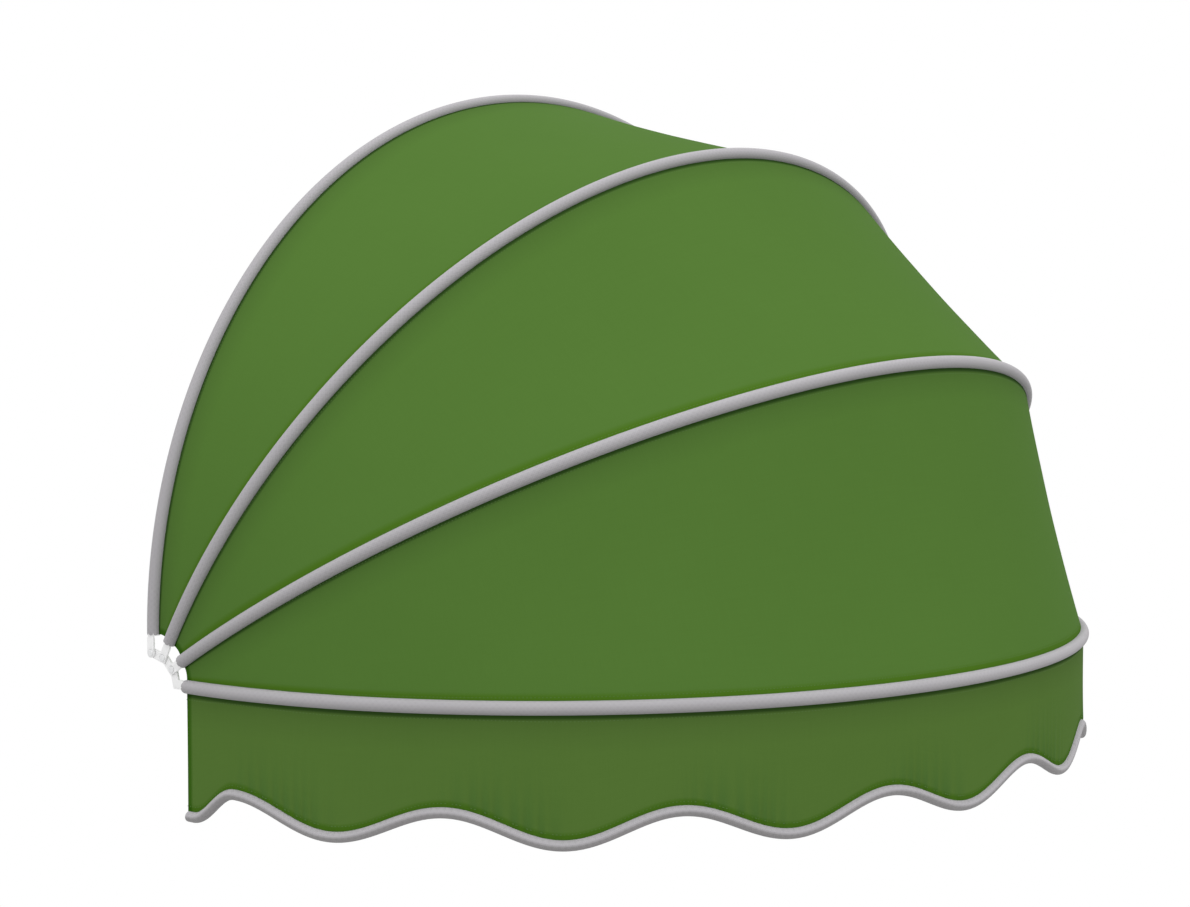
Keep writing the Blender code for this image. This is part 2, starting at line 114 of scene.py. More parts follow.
def half_ellipse_length(across, rise, steps=720):
    """The length of a half ellipse, added up from short chords."""
    turns = [math.pi * k / steps for k in range(steps + 1)]
    line = [Vector((across * math.cos(turn), rise * math.sin(turn))) for turn in turns]
    return sum((after - here).length for here, after in zip(line, line[1:]))


HOOP_LENGTH = half_ellipse_length(HALF_WIDTH, HOOP_RISE)
print(f"tube radius {TUBE_RADIUS:.4f}, half width {HALF_WIDTH:.4f}, hoop length {HOOP_LENGTH:.4f}")

# %% [markdown]
# ## Writing node trees as expressions
#
# A node tree is a formula, but adding its nodes one by one hides the formula. A small class helps. A
# `Link` wraps one output socket, and Python's operators on it add Math nodes, so `1.0 - share * 2.0`
# reads as it would on paper. Numbers with no link in them are worked out by Python, and add no node.

# %% The Link and Tree classes
class Link:
    """One output of a node. Arithmetic on it adds nodes to its tree."""

    def __init__(self, tree, socket):
        self.tree = tree
        self.socket = socket

    def out(self, name):
        """Another output of the same node."""
        return Link(self.tree, self.socket.node.outputs[name])

    def maths(self, operation, *others):
        return self.tree.maths(operation, self, *others)

    def clamped(self):
        """This value, kept between 0 and 1."""
        return self.maths("MAXIMUM", 0.0).maths("MINIMUM", 1.0)

    def __add__(self, other):
        return self.tree.maths("ADD", self, other)

    def __radd__(self, other):
        return self.tree.maths("ADD", other, self)

    def __sub__(self, other):
        return self.tree.maths("SUBTRACT", self, other)

    def __rsub__(self, other):
        return self.tree.maths("SUBTRACT", other, self)

    def __mul__(self, other):
        return self.tree.maths("MULTIPLY", self, other)

    def __rmul__(self, other):
        return self.tree.maths("MULTIPLY", other, self)

    def __truediv__(self, other):
        return self.tree.maths("DIVIDE", self, other)

    def __rtruediv__(self, other):
        return self.tree.maths("DIVIDE", other, self)

    def __pow__(self, other):
        return self.tree.maths("POWER", self, other)

    def __rpow__(self, other):
        return self.tree.maths("POWER", other, self)


class Tree:
    """A node tree that is built from expressions."""

    def __init__(self, nodes):
        self.nodes = nodes

    def node(self, kind, settings=None, **sockets):
        """Adds a node: its settings first, then its sockets by name, with _ for a space."""
        return self.numbered(kind, settings, {name.replace("_", " "): v for name, v in sockets.items()})

    def numbered(self, kind, settings, sockets):
        """Adds a node whose sockets are given by name or by number, and gives its first output."""
        made = self.nodes.nodes.new(kind)
        for name, value in (settings or {}).items():
            setattr(made, name, value)
        for name, value in sockets.items():
            live = [s for s in made.inputs if s.enabled]
            socket = live[name] if isinstance(name, int) else next(s for s in live if s.name == name)
            if isinstance(value, Link):
                self.nodes.links.new(value.socket, socket)
            elif value is not None:
                plain = isinstance(value, (int, float)) and socket.type == "VECTOR"
                socket.default_value = (value, value, value) if plain else value
        return next((Link(self, s) for s in made.outputs if s.enabled), None)

    def maths(self, operation, *values):
        """A Math node, or a Vector Math node where one of the values is a vector."""
        kinds = [value.socket.type if isinstance(value, Link) else type(value) for value in values]
        kind = "ShaderNodeVectorMath" if "VECTOR" in kinds or Vector in kinds else "ShaderNodeMath"
        return self.numbered(kind, {"operation": operation}, dict(enumerate(values)))

    def vector(self, x=0.0, y=0.0, z=0.0):
        return self.node("ShaderNodeCombineXYZ", X=x, Y=y, Z=z)

    def noise(self, place, scale, detail=2.0):
        return self.node("ShaderNodeTexNoise", Vector=place, Scale=scale, Detail=detail)

    def noise_along(self, place):
        """Noise on one number, such as a length along a line."""
        return self.node("ShaderNodeTexNoise", {"noise_dimensions": "1D"}, W=place, Scale=1.0)


# %% [markdown]
# ## Shapes from Geometry Nodes
#
# Each tree below is a `Shape`, with named inputs for its sizes, like a tool with dials. It ends in
# Realize Instances and Set Material, because copies that are only instances are lost on export. `build`
# puts the tree on an empty carrier, sets the dials by their identifiers, and keeps the result as a plain
# mesh, so that nothing is left to evaluate later.

# %% The Shape class
SMOOTH_BELOW = math.radians(40.0)
SOCKETS = {
    float: "NodeSocketFloat",
    int: "NodeSocketInt",
    Vector: "NodeSocketVector",
    bpy.types.Material: "NodeSocketMaterial",
    bpy.types.Object: "NodeSocketObject",
}
HOOP_DIALS = {"Half Width": HALF_WIDTH, "Rise": HOOP_RISE, "Hub To End": HUB_TO_END, "Hub": HUB}


class Shape(Tree):
    """A Geometry Nodes tree with named inputs for its sizes."""

    def __init__(self, name, dials):
        super().__init__(bpy.data.node_groups.new(name, "GeometryNodeTree"))
        face = self.nodes.interface
        face.new_socket("Geometry", in_out="OUTPUT", socket_type="NodeSocketGeometry")
        face.new_socket("Geometry", in_out="INPUT", socket_type="NodeSocketGeometry")
        self.defaults = {**dials, "Finish": bpy.types.Material}
        self.identifiers = {}
        for label, value in self.defaults.items():
            kind = value if isinstance(value, type) else type(value)
            socket = face.new_socket(label, in_out="INPUT", socket_type=SOCKETS[kind])
            self.identifiers[label] = socket.identifier
        start = self.nodes.nodes.new("NodeGroupInput")
        self.base = Link(self, start.outputs["Geometry"])
        self.dial = {label: Link(self, start.outputs[label]) for label in self.defaults}

    def finish(self, geometry):
        """Ends the tree."""
        real = self.node("GeometryNodeRealizeInstances", Geometry=geometry)
        dressed = self.node("GeometryNodeSetMaterial", Geometry=real, Material=self.dial["Finish"])
        self.node("NodeGroupOutput", Geometry=dressed)

    def build(self, name, finish, base=None, **dials):
        """Runs the tree once and gives its result as a plain mesh object."""
        carrier = bpy.data.objects.new(name, base or bpy.data.meshes.new(name + "_carrier"))
        bpy.context.scene.collection.objects.link(carrier)
        step = carrier.modifiers.new("shape", "NODES")
        step.node_group = self.nodes
        chosen = {label.replace("_", " "): value for label, value in dials.items()}
        for label, value in {**self.defaults, **chosen, "Finish": finish}.items():
            step[self.identifiers[label]] = value
        mesh = plain_mesh(carrier)
        bpy.data.objects.remove(carrier)
        return add_piece(name, mesh)


def plain_mesh(thing):
    """What an object looks like with its modifiers, as a mesh of its own."""
    graph = bpy.context.evaluated_depsgraph_get()
    return bpy.data.meshes.new_from_object(thing.evaluated_get(graph), depsgraph=graph)


def add_piece(name, data):
    """Adds an object at the origin for a mesh, a lamp or a camera, both with the same name."""
    piece = bpy.data.objects.new(name, data)
    data.name = name
    bpy.context.scene.collection.objects.link(piece)
    return piece


def smooth(mesh, below=SMOOTH_BELOW):
    """Shades a mesh smooth, except at edges whose angle isn't below a limit."""
    mesh.shade_smooth()
    mesh.set_sharp_from_angle(angle=below)


def count(piece):
    """Prints how fine a piece is."""
    triangles = sum(len(face.vertices) - 2 for face in piece.data.polygons)
    print(f"{piece.name}: {triangles} triangles")
    return piece


# %% [markdown]
# ## Finishes
#
# A finish is a Principled shader with a colour, a roughness and a relief. What varies over the surface
# feeds only Base Color, Roughness and Normal, which an export can bake; what is the same all over is set
# on the shader's own sockets. Cloth and braid read the piece's UV map, which the trees write in metres,
# so a thread keeps its size wherever the cloth goes.

# %% The Finish class
class Finish(Tree):
    """A material that is built from expressions."""

    def __init__(self, name, **sockets):
        self.material = bpy.data.materials.new(name)
        self.material.use_nodes = True
        super().__init__(self.material.node_tree)
        self.shader = self.nodes.nodes["Principled BSDF"]
        for label, value in sockets.items():
            self.shader.inputs[label.replace("_", " ")].default_value = value

    def feed(self, label, link):
        self.nodes.links.new(link.socket, self.shader.inputs[label])

    def relief(self, height, distance, strength):
        """Bump from a height, in metres for each unit of the height."""
        bump = self.node("ShaderNodeBump", Strength=strength, Distance=distance, Height=height)
        self.feed("Normal", bump)

    def uv(self):
        """The piece's UV map, in metres: across the threads, and along them."""
        both = self.node("ShaderNodeUVMap", {"uv_map": "UVMap"})
        split = self.node("ShaderNodeSeparateXYZ", Vector=both)
        return split, split.out("Y")

    def place(self):
        return self.node("ShaderNodeTexCoord").out("Object")

    def stored(self, name):
        """A number that the piece's mesh keeps for each of its points."""
        return self.node("ShaderNodeAttribute", {"attribute_name": name}).out("Fac")

    def blend_colours(self, share, first, second):
        return self.node("ShaderNodeMix", {"data_type": "RGBA"}, Factor=share, A=first, B=second)

    def shade_colour(self, colour, share, shade):
        """The colour multiplied by a shade, by so much."""
        settings = {"data_type": "RGBA", "blend_type": "MULTIPLY"}
        return self.node("ShaderNodeMix", settings, Factor=share, A=colour, B=shade)


# %% [markdown]
# ### Awning acrylic
#
# The green cloth is a plain weave of dyed yarn, matt, with a faint sheen at grazing angles. One product
# of two sine waves gives a weave: it is high where a warp thread lies on top and low where a weft thread
# does. Single yarns differ a little in colour, so noise that is stretched along the threads tints them,
# and broad noise keeps a large plain surface from looking like plastic.
#
# Along its edges the cloth is doubled and drawn tight by the seam, and its colour is darker there, which
# is mostly painted shade: the hoop's shadow just below each hoop, and a deeper green line just above it.
# The trees write two attributes for this: how far a point lies from the upper and the lower seam, as a
# share of the hem's width there. The short free ends have a hem too, which the UV map gives, with a
# painted dark edge line along it. Below each hoop the colour is also a little darker over some six widths
# of the upper hem, a painted soft shadow of the hoop. A third attribute says how deep a point lies in the
# small gathers above the valance's hem, where the valleys get painted shade. The valance has its own copy
# of the acrylic, a little darker and duller, painted shade for the hanging cloth.

# %% Green cloth
THREAD_PITCH = 0.0011
STREAKS_ACROSS = 420.0
STREAKS_ALONG = 14.0
WEFT_SHIFT = 7.0
CLOTH_PATCHES = 3.2
CLOTH_DARK = (0.0685, 0.1495, 0.0258, 1.0)
CLOTH_LIGHT = (0.0830, 0.1750, 0.0333, 1.0)
# The valance's copy of the acrylic is a little darker and duller: painted shade for the hanging cloth.
VALANCE_SHADED_DARK = (0.0712, 0.1425, 0.0260, 1.0)
VALANCE_SHADED_LIGHT = (0.0868, 0.1665, 0.0336, 1.0)
# Painted shade along the seams: the hoop's shadow just below each hoop, and a deeper green line just
# above it, on the gores and on the valance; the cloth is doubled there too.
UPPER_SEAM_PAINTED_SHADOW = (0.36, 0.43, 0.40, 1.0)
GORE_SEAM_PAINTED_SHADE = (0.78, 0.88, 0.38, 1.0)
VALANCE_SEAM_PAINTED_SHADE = (0.64, 0.82, 0.32, 1.0)
# Painted shade in the valleys of the gathers above the valance's hem.
PAINTED_FOLD_SHADE = (0.72, 0.84, 0.90, 1.0)
# Painted soft shadow of each hoop on the cloth below it, and its reach in widths of the upper hem.
SOFT_SHADOW_UNDER_HOOP = (0.88, 0.86, 0.92, 1.0)
SOFT_SHADOW_REACH = 6.0
# The free ends have a hem, and the dark line along it is painted edge shade.
FREE_HEM = 0.0110
FREE_END_PAINTED_SHADE = (0.44, 0.66, 0.24, 1.0)


def hem_mask(share):
    """1 over the inner half of a hem, and 0 beyond it; share is the distance over the hem's width."""
    return ((1.0 - share) * 2.0).clamped()


def cloth_finish(name, dark, light, seam_painted_shade):
    cloth = Finish(name, Specular_IOR_Level=0.02)
    across, along = cloth.uv()
    turn = math.pi / THREAD_PITCH
    weave = (across * turn).maths("SINE") * (along * turn).maths("SINE")
    warp_place = cloth.vector(across * STREAKS_ACROSS, along * STREAKS_ALONG)
    weft_place = cloth.vector(across * STREAKS_ALONG, along * STREAKS_ACROSS, WEFT_SHIFT)
    warp = cloth.noise(warp_place, 1.0, detail=1.0)
    weft = cloth.noise(weft_place, 1.0, detail=1.0)
    broad = cloth.noise(cloth.place(), CLOTH_PATCHES, detail=3.0)
    tint = (warp + weft) * 0.25 + broad * 0.5 + weave * 0.06
    colour = cloth.blend_colours(tint, dark, light)
    upper = cloth.stored("upper_hem")
    lower = cloth.stored("lower_hem")
    from_end = along.maths("MINIMUM", HOOP_LENGTH - along) / FREE_HEM
    # Painted soft shadow below each hoop.
    soft_shadow = (1.0 - upper / SOFT_SHADOW_REACH).maths("MAXIMUM", 0.0)
    # Painted shade in the gathers' valleys.
    colour = cloth.shade_colour(colour, cloth.stored("gather"), PAINTED_FOLD_SHADE)
    colour = cloth.shade_colour(colour, soft_shadow, SOFT_SHADOW_UNDER_HOOP)
    # Painted seam shade just above each hoop.
    colour = cloth.shade_colour(colour, hem_mask(lower), seam_painted_shade)
    # Painted dark edge line along the free ends.
    colour = cloth.shade_colour(colour, hem_mask(from_end), FREE_END_PAINTED_SHADE)
    # Painted shadow of the hoop, just below it.
    colour = cloth.shade_colour(colour, hem_mask(upper), UPPER_SEAM_PAINTED_SHADOW)
    cloth.feed("Base Color", colour)
    cloth.feed("Roughness", 0.80 + broad * 0.12)
    cloth.relief(weave * 0.5 + (warp + weft) * 0.35, 0.00012, strength=0.55)
    return cloth.material


# %% [markdown]
# ### Grey braid
#
# The hoops and the hem wear a tight grey braid. Two families of diagonal yarns cross, with a pitch of
# 3 to 4 mm along the tube. The larger of two slanting waves is the yarn on top. Some yarns are paler than
# others, which shows as faint dashes from a few steps away: a wider pair of waves tints them. The trees
# store how far each point faces the sky, and the colour is darker where it faces down: a painted shade
# on the braid's underside.

# %% Braid on the hoops and the hem
PALE_YARN_PITCH = 0.0090
FIBRES = 900.0
BRAID_PATCHES = 6.0
BRAID_DARK = (0.325, 0.314, 0.331, 1.0)
BRAID_LIGHT = (0.480, 0.464, 0.485, 1.0)
# Painted shade on the braid's underside, for the hoops and for the hem.
HOOP_PAINTED_UNDERSIDE = (0.76, 0.76, 0.75, 1.0)
HEM_PAINTED_UNDERSIDE = (0.62, 0.62, 0.60, 1.0)


def crossed_yarns(around, along, pitch, lean):
    """Adds the height of the upper yarn where two families of slanting yarns cross."""
    wave = 2.0 * math.pi / pitch
    right = (along * wave + around * (wave * lean)).maths("SINE")
    left = (along * wave - around * (wave * lean)).maths("SINE")
    return right.maths("MAXIMUM", left)


def braid_finish(name, pitch, lean, shaded, edge, level):
    """A diagonal braid: its yarns repeat at a pitch along the tube, and lean by so much for each turn.

    Its lower side has the shaded colour, a painted shade: the change lies round a level of the normal's
    z, and edge is how sharp it is.
    """
    braid = Finish(name, Specular_IOR_Level=0.3, Sheen_Weight=0.08, Sheen_Roughness=0.6)
    around, along = braid.uv()
    yarn = crossed_yarns(around, along, pitch, lean)
    pale_yarn = crossed_yarns(around, along, PALE_YARN_PITCH, lean)
    fibre = braid.noise(braid.vector(around * FIBRES, along * FIBRES), 1.0)
    broad = braid.noise(braid.place(), BRAID_PATCHES)
    tint = yarn * 0.18 + pale_yarn * 0.10 + fibre * 0.35 + broad * 0.25 + 0.10
    colour = braid.blend_colours(tint, BRAID_DARK, BRAID_LIGHT)
    # Painted shade where the braid faces down.
    painted_underside = (0.5 - (braid.stored("sky_side") - level) * edge).clamped()
    braid.feed("Base Color", braid.shade_colour(colour, painted_underside, shaded))
    braid.feed("Roughness", 0.66 + fibre * 0.16)
    braid.relief(yarn * 0.6 + fibre * 0.4, 0.00028, strength=0.7)
    return braid.material


# %% [markdown]
# ### Powder coat, zinc, nylon and thread
#
# The hinge plates and saddles are powder coated: white with a fine orange peel. The rivets, screws and
# cord guides are zinc plated, where small crystals catch the light one by one, so a Voronoi pattern
# drives the roughness. The pulley's wheel is moulded nylon, slightly cloudy. The sewing thread has the
# cloth's green, a little darker.

# %% White, zinc, nylon and thread
POWDER_DARK = (0.83, 0.83, 0.83, 1.0)
POWDER_LIGHT = (0.89, 0.89, 0.89, 1.0)
ZINC_DARK = (0.68, 0.69, 0.70, 1.0)
ZINC_LIGHT = (0.82, 0.82, 0.82, 1.0)
NYLON_DARK = (0.72, 0.71, 0.67, 1.0)
NYLON_LIGHT = (0.82, 0.81, 0.78, 1.0)
THREAD_GREEN = (0.062, 0.128, 0.026, 1.0)


def powder_finish():
    powder = Finish("powder_coat")
    grain = powder.noise(powder.place(), 900.0, detail=1.0)
    broad = powder.noise(powder.place(), 30.0)
    powder.feed("Base Color", powder.blend_colours(broad, POWDER_DARK, POWDER_LIGHT))
    powder.feed("Roughness", 0.38 + grain * 0.14)
    powder.relief(grain, 0.00008, strength=0.4)
    return powder.material


def zinc_finish():
    zinc = Finish("zinc_plate", Metallic=1.0)
    place = zinc.place()
    spangle = zinc.node("ShaderNodeTexVoronoi", {"feature": "F1"}, Vector=place, Scale=700.0)
    brushed = zinc.noise(place, 1400.0)
    zinc.feed("Base Color", zinc.blend_colours(brushed, ZINC_DARK, ZINC_LIGHT))
    zinc.feed("Roughness", 0.26 + spangle * 0.18 + brushed * 0.08)
    zinc.relief(brushed, 0.00003, strength=0.4)
    return zinc.material


def nylon_finish():
    nylon = Finish("nylon")
    cloud = nylon.noise(nylon.place(), 160.0)
    nylon.feed("Base Color", nylon.blend_colours(cloud, NYLON_DARK, NYLON_LIGHT))
    nylon.feed("Roughness", 0.34 + cloud * 0.2)
    nylon.relief(cloud, 0.00005, strength=0.5)
    return nylon.material


def thread_finish():
    thread = Finish("sewing_thread", Roughness=0.7)
    twist = thread.noise(thread.place(), 2500.0, detail=1.0)
    thread.feed("Base Color", thread.blend_colours(twist, THREAD_GREEN, CLOTH_LIGHT))
    thread.relief(twist, 0.0001, strength=0.6)
    return thread.material


# %% The finishes of this awning
green = cloth_finish("awning_acrylic", CLOTH_DARK, CLOTH_LIGHT, GORE_SEAM_PAINTED_SHADE)
valance_green = cloth_finish("valance_acrylic", VALANCE_SHADED_DARK, VALANCE_SHADED_LIGHT, VALANCE_SEAM_PAINTED_SHADE)
hoop_braid = braid_finish("hoop_braid", pitch=0.0036, lean=1.0, shaded=HOOP_PAINTED_UNDERSIDE, edge=0.7, level=0.1)
hem_braid = braid_finish("hem_braid", pitch=0.0030, lean=0.6, shaded=HEM_PAINTED_UNDERSIDE, edge=2.0, level=0.1)
white = powder_finish()
zinc = zinc_finish()
nylon = nylon_finish()
thread = thread_finish()
finishes = (green, valance_green, hoop_braid, hem_braid, white, zinc, nylon, thread)
print("finishes:", [finish.name for finish in finishes])

# %% [markdown]
# ## The hoops
#
# A hoop is bent aluminium tube in a braided sleeve, and the sleeve is turned in over the tube's ends. It
# could be a bent cylinder, but a curve that is swept by a circle is truer: the Arc node gives half a
# circle, which is stretched to the ellipse, stood up at its angle from the wall, and resampled evenly.
# The circle is an open arc of a full turn, so that the UV map has a clean seam, and the doubled points
# are merged after the map is written.

# %% The hoop line and the swept tube
ARC_POINTS = 721
MERGE = 0.00001


def hoop_line(tree, turn, cover=0.0):
    """Adds the middle line of the hoop at an angle from the wall, longer at each end by cover."""
    more = cover / HOOP_RISE
    arc = tree.node(
        "GeometryNodeCurveArc", {"mode": "RADIUS"}, Resolution=ARC_POINTS, Radius=1.0,
        Start_Angle=-more, Sweep_Angle=math.pi + 2.0 * more,
    )
    ellipse = tree.node(
        "GeometryNodeTransform", Geometry=arc,
        Translation=tree.vector(0.0, tree.dial["Hub To End"]),
        Scale=tree.vector(tree.dial["Half Width"], tree.dial["Rise"], 1.0),
    )
    return tree.node(
        "GeometryNodeTransform", Geometry=ellipse, Translation=tree.dial["Hub"],
        Rotation=tree.vector(turn + math.pi / 2.0),
    )


def named(tree, name, kind="FLOAT"):
    return tree.node("GeometryNodeInputNamedAttribute", {"data_type": kind}, Name=name)


def store(tree, geometry, name, value, kind="FLOAT", domain="POINT"):
    return tree.node(
        "GeometryNodeStoreNamedAttribute", {"data_type": kind, "domain": domain},
        Geometry=geometry, Name=name, Value=value,
    )


def swept_tube(tree, line, radius, sides):
    """Adds a tube round a line, with a UV map in metres: round the tube, and along it."""
    length = tree.node("GeometryNodeSplineParameter").out("Length")
    marked = store(tree, line, "along", length)
    circle = tree.node(
        "GeometryNodeCurveArc", {"mode": "RADIUS"}, Resolution=sides + 1, Radius=radius,
        Sweep_Angle=2.0 * math.pi,
    )
    ringed = store(tree, circle, "around", length)
    tube = tree.numbered("GeometryNodeCurveToMesh", {}, {"Curve": marked, "Profile Curve": ringed})
    both = tree.vector(named(tree, "around"), named(tree, "along"))
    mapped = store(tree, tube, "UVMap", both, "FLOAT2", "CORNER")
    merged = tree.node("GeometryNodeMergeByDistance", Geometry=mapped, Distance=MERGE)
    facing = tree.node("ShaderNodeSeparateXYZ", Vector=tree.node("GeometryNodeInputNormal")).out("Z")
    return store(tree, merged, "sky_side", facing)


def evenly(tree, line, points):
    """Adds the same line with so many points, evenly spaced."""
    return tree.node("GeometryNodeResampleCurve", {"mode": "COUNT"}, Curve=line, Count=points)


def round_edges(bm, edges, width, segments):
    bmesh.ops.bevel(
        bm, geom=edges, offset=width, segments=segments, profile=0.5, affect="EDGES", clamp_overlap=True
    )


def close_ends(piece, rounding):
    """Closes a tube's two ends and rounds their rims."""
    bm = bmesh.new()
    bm.from_mesh(piece.data)
    rims = [edge for edge in bm.edges if edge.is_boundary]
    bmesh.ops.holes_fill(bm, edges=rims)
    round_edges(bm, rims, rounding, 4)
    bmesh.ops.recalc_face_normals(bm, faces=bm.faces)
    bm.to_mesh(piece.data)
    bm.free()
    smooth(piece.data)


# %% Four hoops in their sleeves
SLEEVE_OVER_END = 0.0043
SLEEVE_ROUNDING = 0.0028

sleeve = Shape("sleeve", {**HOOP_DIALS, "Turn": 0.0, "Radius": TUBE_RADIUS, "Sides": 28, "Steps": 260})
sleeve_line = hoop_line(sleeve, sleeve.dial["Turn"], SLEEVE_OVER_END)
sleeve_line = evenly(sleeve, sleeve_line, sleeve.dial["Steps"])
sleeve.finish(swept_tube(sleeve, sleeve_line, sleeve.dial["Radius"], sleeve.dial["Sides"]))

for order, (hoop, body) in enumerate(zip(HOOPS, BODIES)):
    piece = sleeve.build(hoop + "_sleeve", hoop_braid, Turn=order * FAN_PITCH)
    close_ends(piece, SLEEVE_ROUNDING)
    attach(count(piece), body)
    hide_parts(hoop)

# %% [markdown]
# ## The gores
#
# A gore is the cloth between two hoops. Each straight line from a hoop to the next is a thread under
# tension, so the sheet is a ruled surface, and it dips a few millimetres towards the hub where the span
# is wide. A grid gives two numbers to each point: how far along the hoops it lies, and its share of the
# way across. Sample Curve turns the first into a point on each hoop, and the second mixes them.
#
# The cloth stops at the inner side of each sleeve, where it is sewn in, so the hoops stand proud of it.
# Its short ends are cut slightly hollow, so that they don't flap.

# %% A point on a gore
CLOTH_THICK = 0.0008
CLOTH_SAG = 0.0062
RIPPLES = 4.5
RIPPLE_HEIGHT = 0.004
END_HOLLOW = 0.0028
TUCK = 0.0007
SEAM_TURN = math.radians(12.0)
WIDEST = 2.0 * (HUB_TO_END + HOOP_RISE) * math.sin(FAN_PITCH / 2.0)


def on_line(tree, line, factor):
    """Adds the point of a curve at a share of its length, and the curve's direction there."""
    settings = {"mode": "FACTOR", "use_all_curves": True}
    sample = tree.node("GeometryNodeSampleCurve", settings, Curves=line, Factor=factor)
    return sample.out("Position"), sample.out("Tangent")


def gore_lines(tree):
    """Adds the two hoop lines that a gore runs between."""
    turn = tree.dial["Turn"]
    return hoop_line(tree, turn - tree.dial["Pitch"]), hoop_line(tree, turn)


def gore_point(tree, lines, factor, share):
    """Adds a point of the gore, and its span: factor runs along the hoops, and share across them."""
    first, second = lines
    bow = share * (1.0 - share) * 4.0
    cut = bow * (END_HOLLOW / HOOP_LENGTH)
    inner = cut + factor * (1.0 - cut * 2.0)
    start, start_run = on_line(tree, first, inner)
    end, end_run = on_line(tree, second, inner)
    across = end - start
    span = across.maths("LENGTH")
    straight = across.maths("NORMALIZE")
    reach = TUBE_RADIUS - TUCK
    aside = straight * (reach * math.cos(SEAM_TURN))
    inset = reach * math.sin(SEAM_TURN)
    start_in = straight.maths("CROSS_PRODUCT", start_run).maths("NORMALIZE")
    end_in = straight.maths("CROSS_PRODUCT", end_run).maths("NORMALIZE")
    start_seam = start + aside + start_in * inset
    end_seam = end - aside + end_in * inset
    flat = start_seam + (end_seam - start_seam) * share
    middle = tree.dial["Turn"] - tree.dial["Pitch"] * 0.5
    to_hub = tree.vector(0.0, middle.maths("SINE"), middle.maths("COSINE") * -1.0)
    ripple = tree.noise(flat, RIPPLES, detail=1.0)
    dip = tree.dial["Sag"] * bow * span / WIDEST + (ripple - 0.5) * bow * RIPPLE_HEIGHT
    return flat + to_hub * dip, span


# %% A grid that becomes cloth
def cloth_grid(tree):
    """Adds a flat grid whose points keep their factor along the hoops and their share across them."""
    grid = tree.node(
        "GeometryNodeMeshGrid", Size_X=1.0, Size_Y=1.0, Vertices_X=tree.dial["Stations"],
        Vertices_Y=tree.dial["Rows"],
    )
    place = tree.node("ShaderNodeSeparateXYZ", Vector=tree.node("GeometryNodeInputPosition"))
    shared = store(tree, grid, "share", place.out("Y") + 0.5)
    return store(tree, shared, "factor", place + 0.5), named(tree, "factor"), named(tree, "share")


def lay_cloth(tree, grid, laid, width):
    """Ends the tree: moves the grid's points to their places, and maps the cloth in metres."""
    moved = tree.node("GeometryNodeSetPosition", Geometry=grid, Position=laid)
    both = tree.vector(named(tree, "share") * width, named(tree, "factor") * HOOP_LENGTH)
    tree.finish(store(tree, moved, "UVMap", both, "FLOAT2", "CORNER"))


def give_thickness(piece, thick):
    """Turns a one-sided sheet into a closed one."""
    solid = piece.modifiers.new("thickness", "SOLIDIFY")
    solid.thickness = thick
    solid.offset = 0.0
    piece.data = plain_mesh(piece)
    piece.modifiers.clear()
    smooth(piece.data)


# %% The gore sheets
UPPER_HEM = 0.0085
LOWER_HEMS = {1: 0.018, 2: 0.018, 3: 0.0130}
GORE_DIALS = {**HOOP_DIALS, "Turn": FAN_PITCH, "Pitch": FAN_PITCH, "Sag": CLOTH_SAG}

gore_sheet = Shape("gore_sheet", {**GORE_DIALS, "Stations": 241, "Rows": 25, "Lower Hem": LOWER_HEMS[1]})
grid, factor, share = cloth_grid(gore_sheet)
laid, span = gore_point(gore_sheet, gore_lines(gore_sheet), factor, share)
hemmed = store(gore_sheet, grid, "upper_hem", share * span / UPPER_HEM)
hemmed = store(gore_sheet, hemmed, "lower_hem", (1.0 - share) * span / gore_sheet.dial["Lower Hem"])
lay_cloth(gore_sheet, hemmed, laid, WIDEST)


def follow_hoops(piece):
    """Bakes the piece's place into its mesh; the cloth is not bent between its two hoops.
    """
    axis = HUB.copy()
    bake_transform(piece)


gores = []
for order, lower_hem in LOWER_HEMS.items():
    piece = gore_sheet.build(f"gore_{order}_cloth", green, Turn=order * FAN_PITCH, Lower_Hem=lower_hem)
    give_thickness(piece, CLOTH_THICK)
    follow_hoops(count(piece))
    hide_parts(f"gore_{order}")
    gores.append(piece)

# %% [markdown]
# ## The valance
#
# The valance hangs straight down from the front hoop, and its hem is cut in waves. Along the hoop, the
# depth is a cosine, with eight whole scallops and a short piece at each end that drops to the corner.
# The binding is sewn on a little tighter than the cloth, and it was drawn one way, so the cloth gathers
# into small upright ripples just above it, on one side of each crest.

# %% The hem's wave
VALANCE_DEPTH = 0.162
SCALLOP_HEIGHT = 0.021
SCALLOPS = 8
END_SCALLOP = 0.090
END_LEVEL = 0.013
PIPING_RADIUS = 0.0075
GATHER_HEIGHT = 0.0022
SCALLOP_PITCH = (HOOP_LENGTH - 2.0 * END_SCALLOP) / SCALLOPS
VALANCE_DIALS = {
    **HOOP_DIALS, "Depth": VALANCE_DEPTH, "Scallop Height": SCALLOP_HEIGHT, "Gather": GATHER_HEIGHT
}
QUARTER_TURN = math.radians(90.0)


def hem_depth(tree, factor):
    """Adds the depth of the hem's middle at a share of the hoop's length."""
    from_end = factor.maths("MINIMUM", 1.0 - factor) * HOOP_LENGTH
    whole = ((from_end - END_SCALLOP) * (2.0 * math.pi / SCALLOP_PITCH)).maths("COSINE") * -1.0
    rise = (from_end - END_LEVEL).maths("MAXIMUM", 0.0)
    corner = (rise * (math.pi / (END_SCALLOP - END_LEVEL))).maths("COSINE")
    at_end = from_end.maths("LESS_THAN", END_SCALLOP)
    wave = whole + at_end * (corner - whole)
    return tree.dial["Depth"] + wave * tree.dial["Scallop Height"]


# %% A point on the valance
GATHER_PITCH = 0.019
GATHER_SCATTER = 0.05
GATHER_REACH = 3.5
GATHER_STOP = 40.0
GATHERED_PART = 0.25
SWING = 0.012


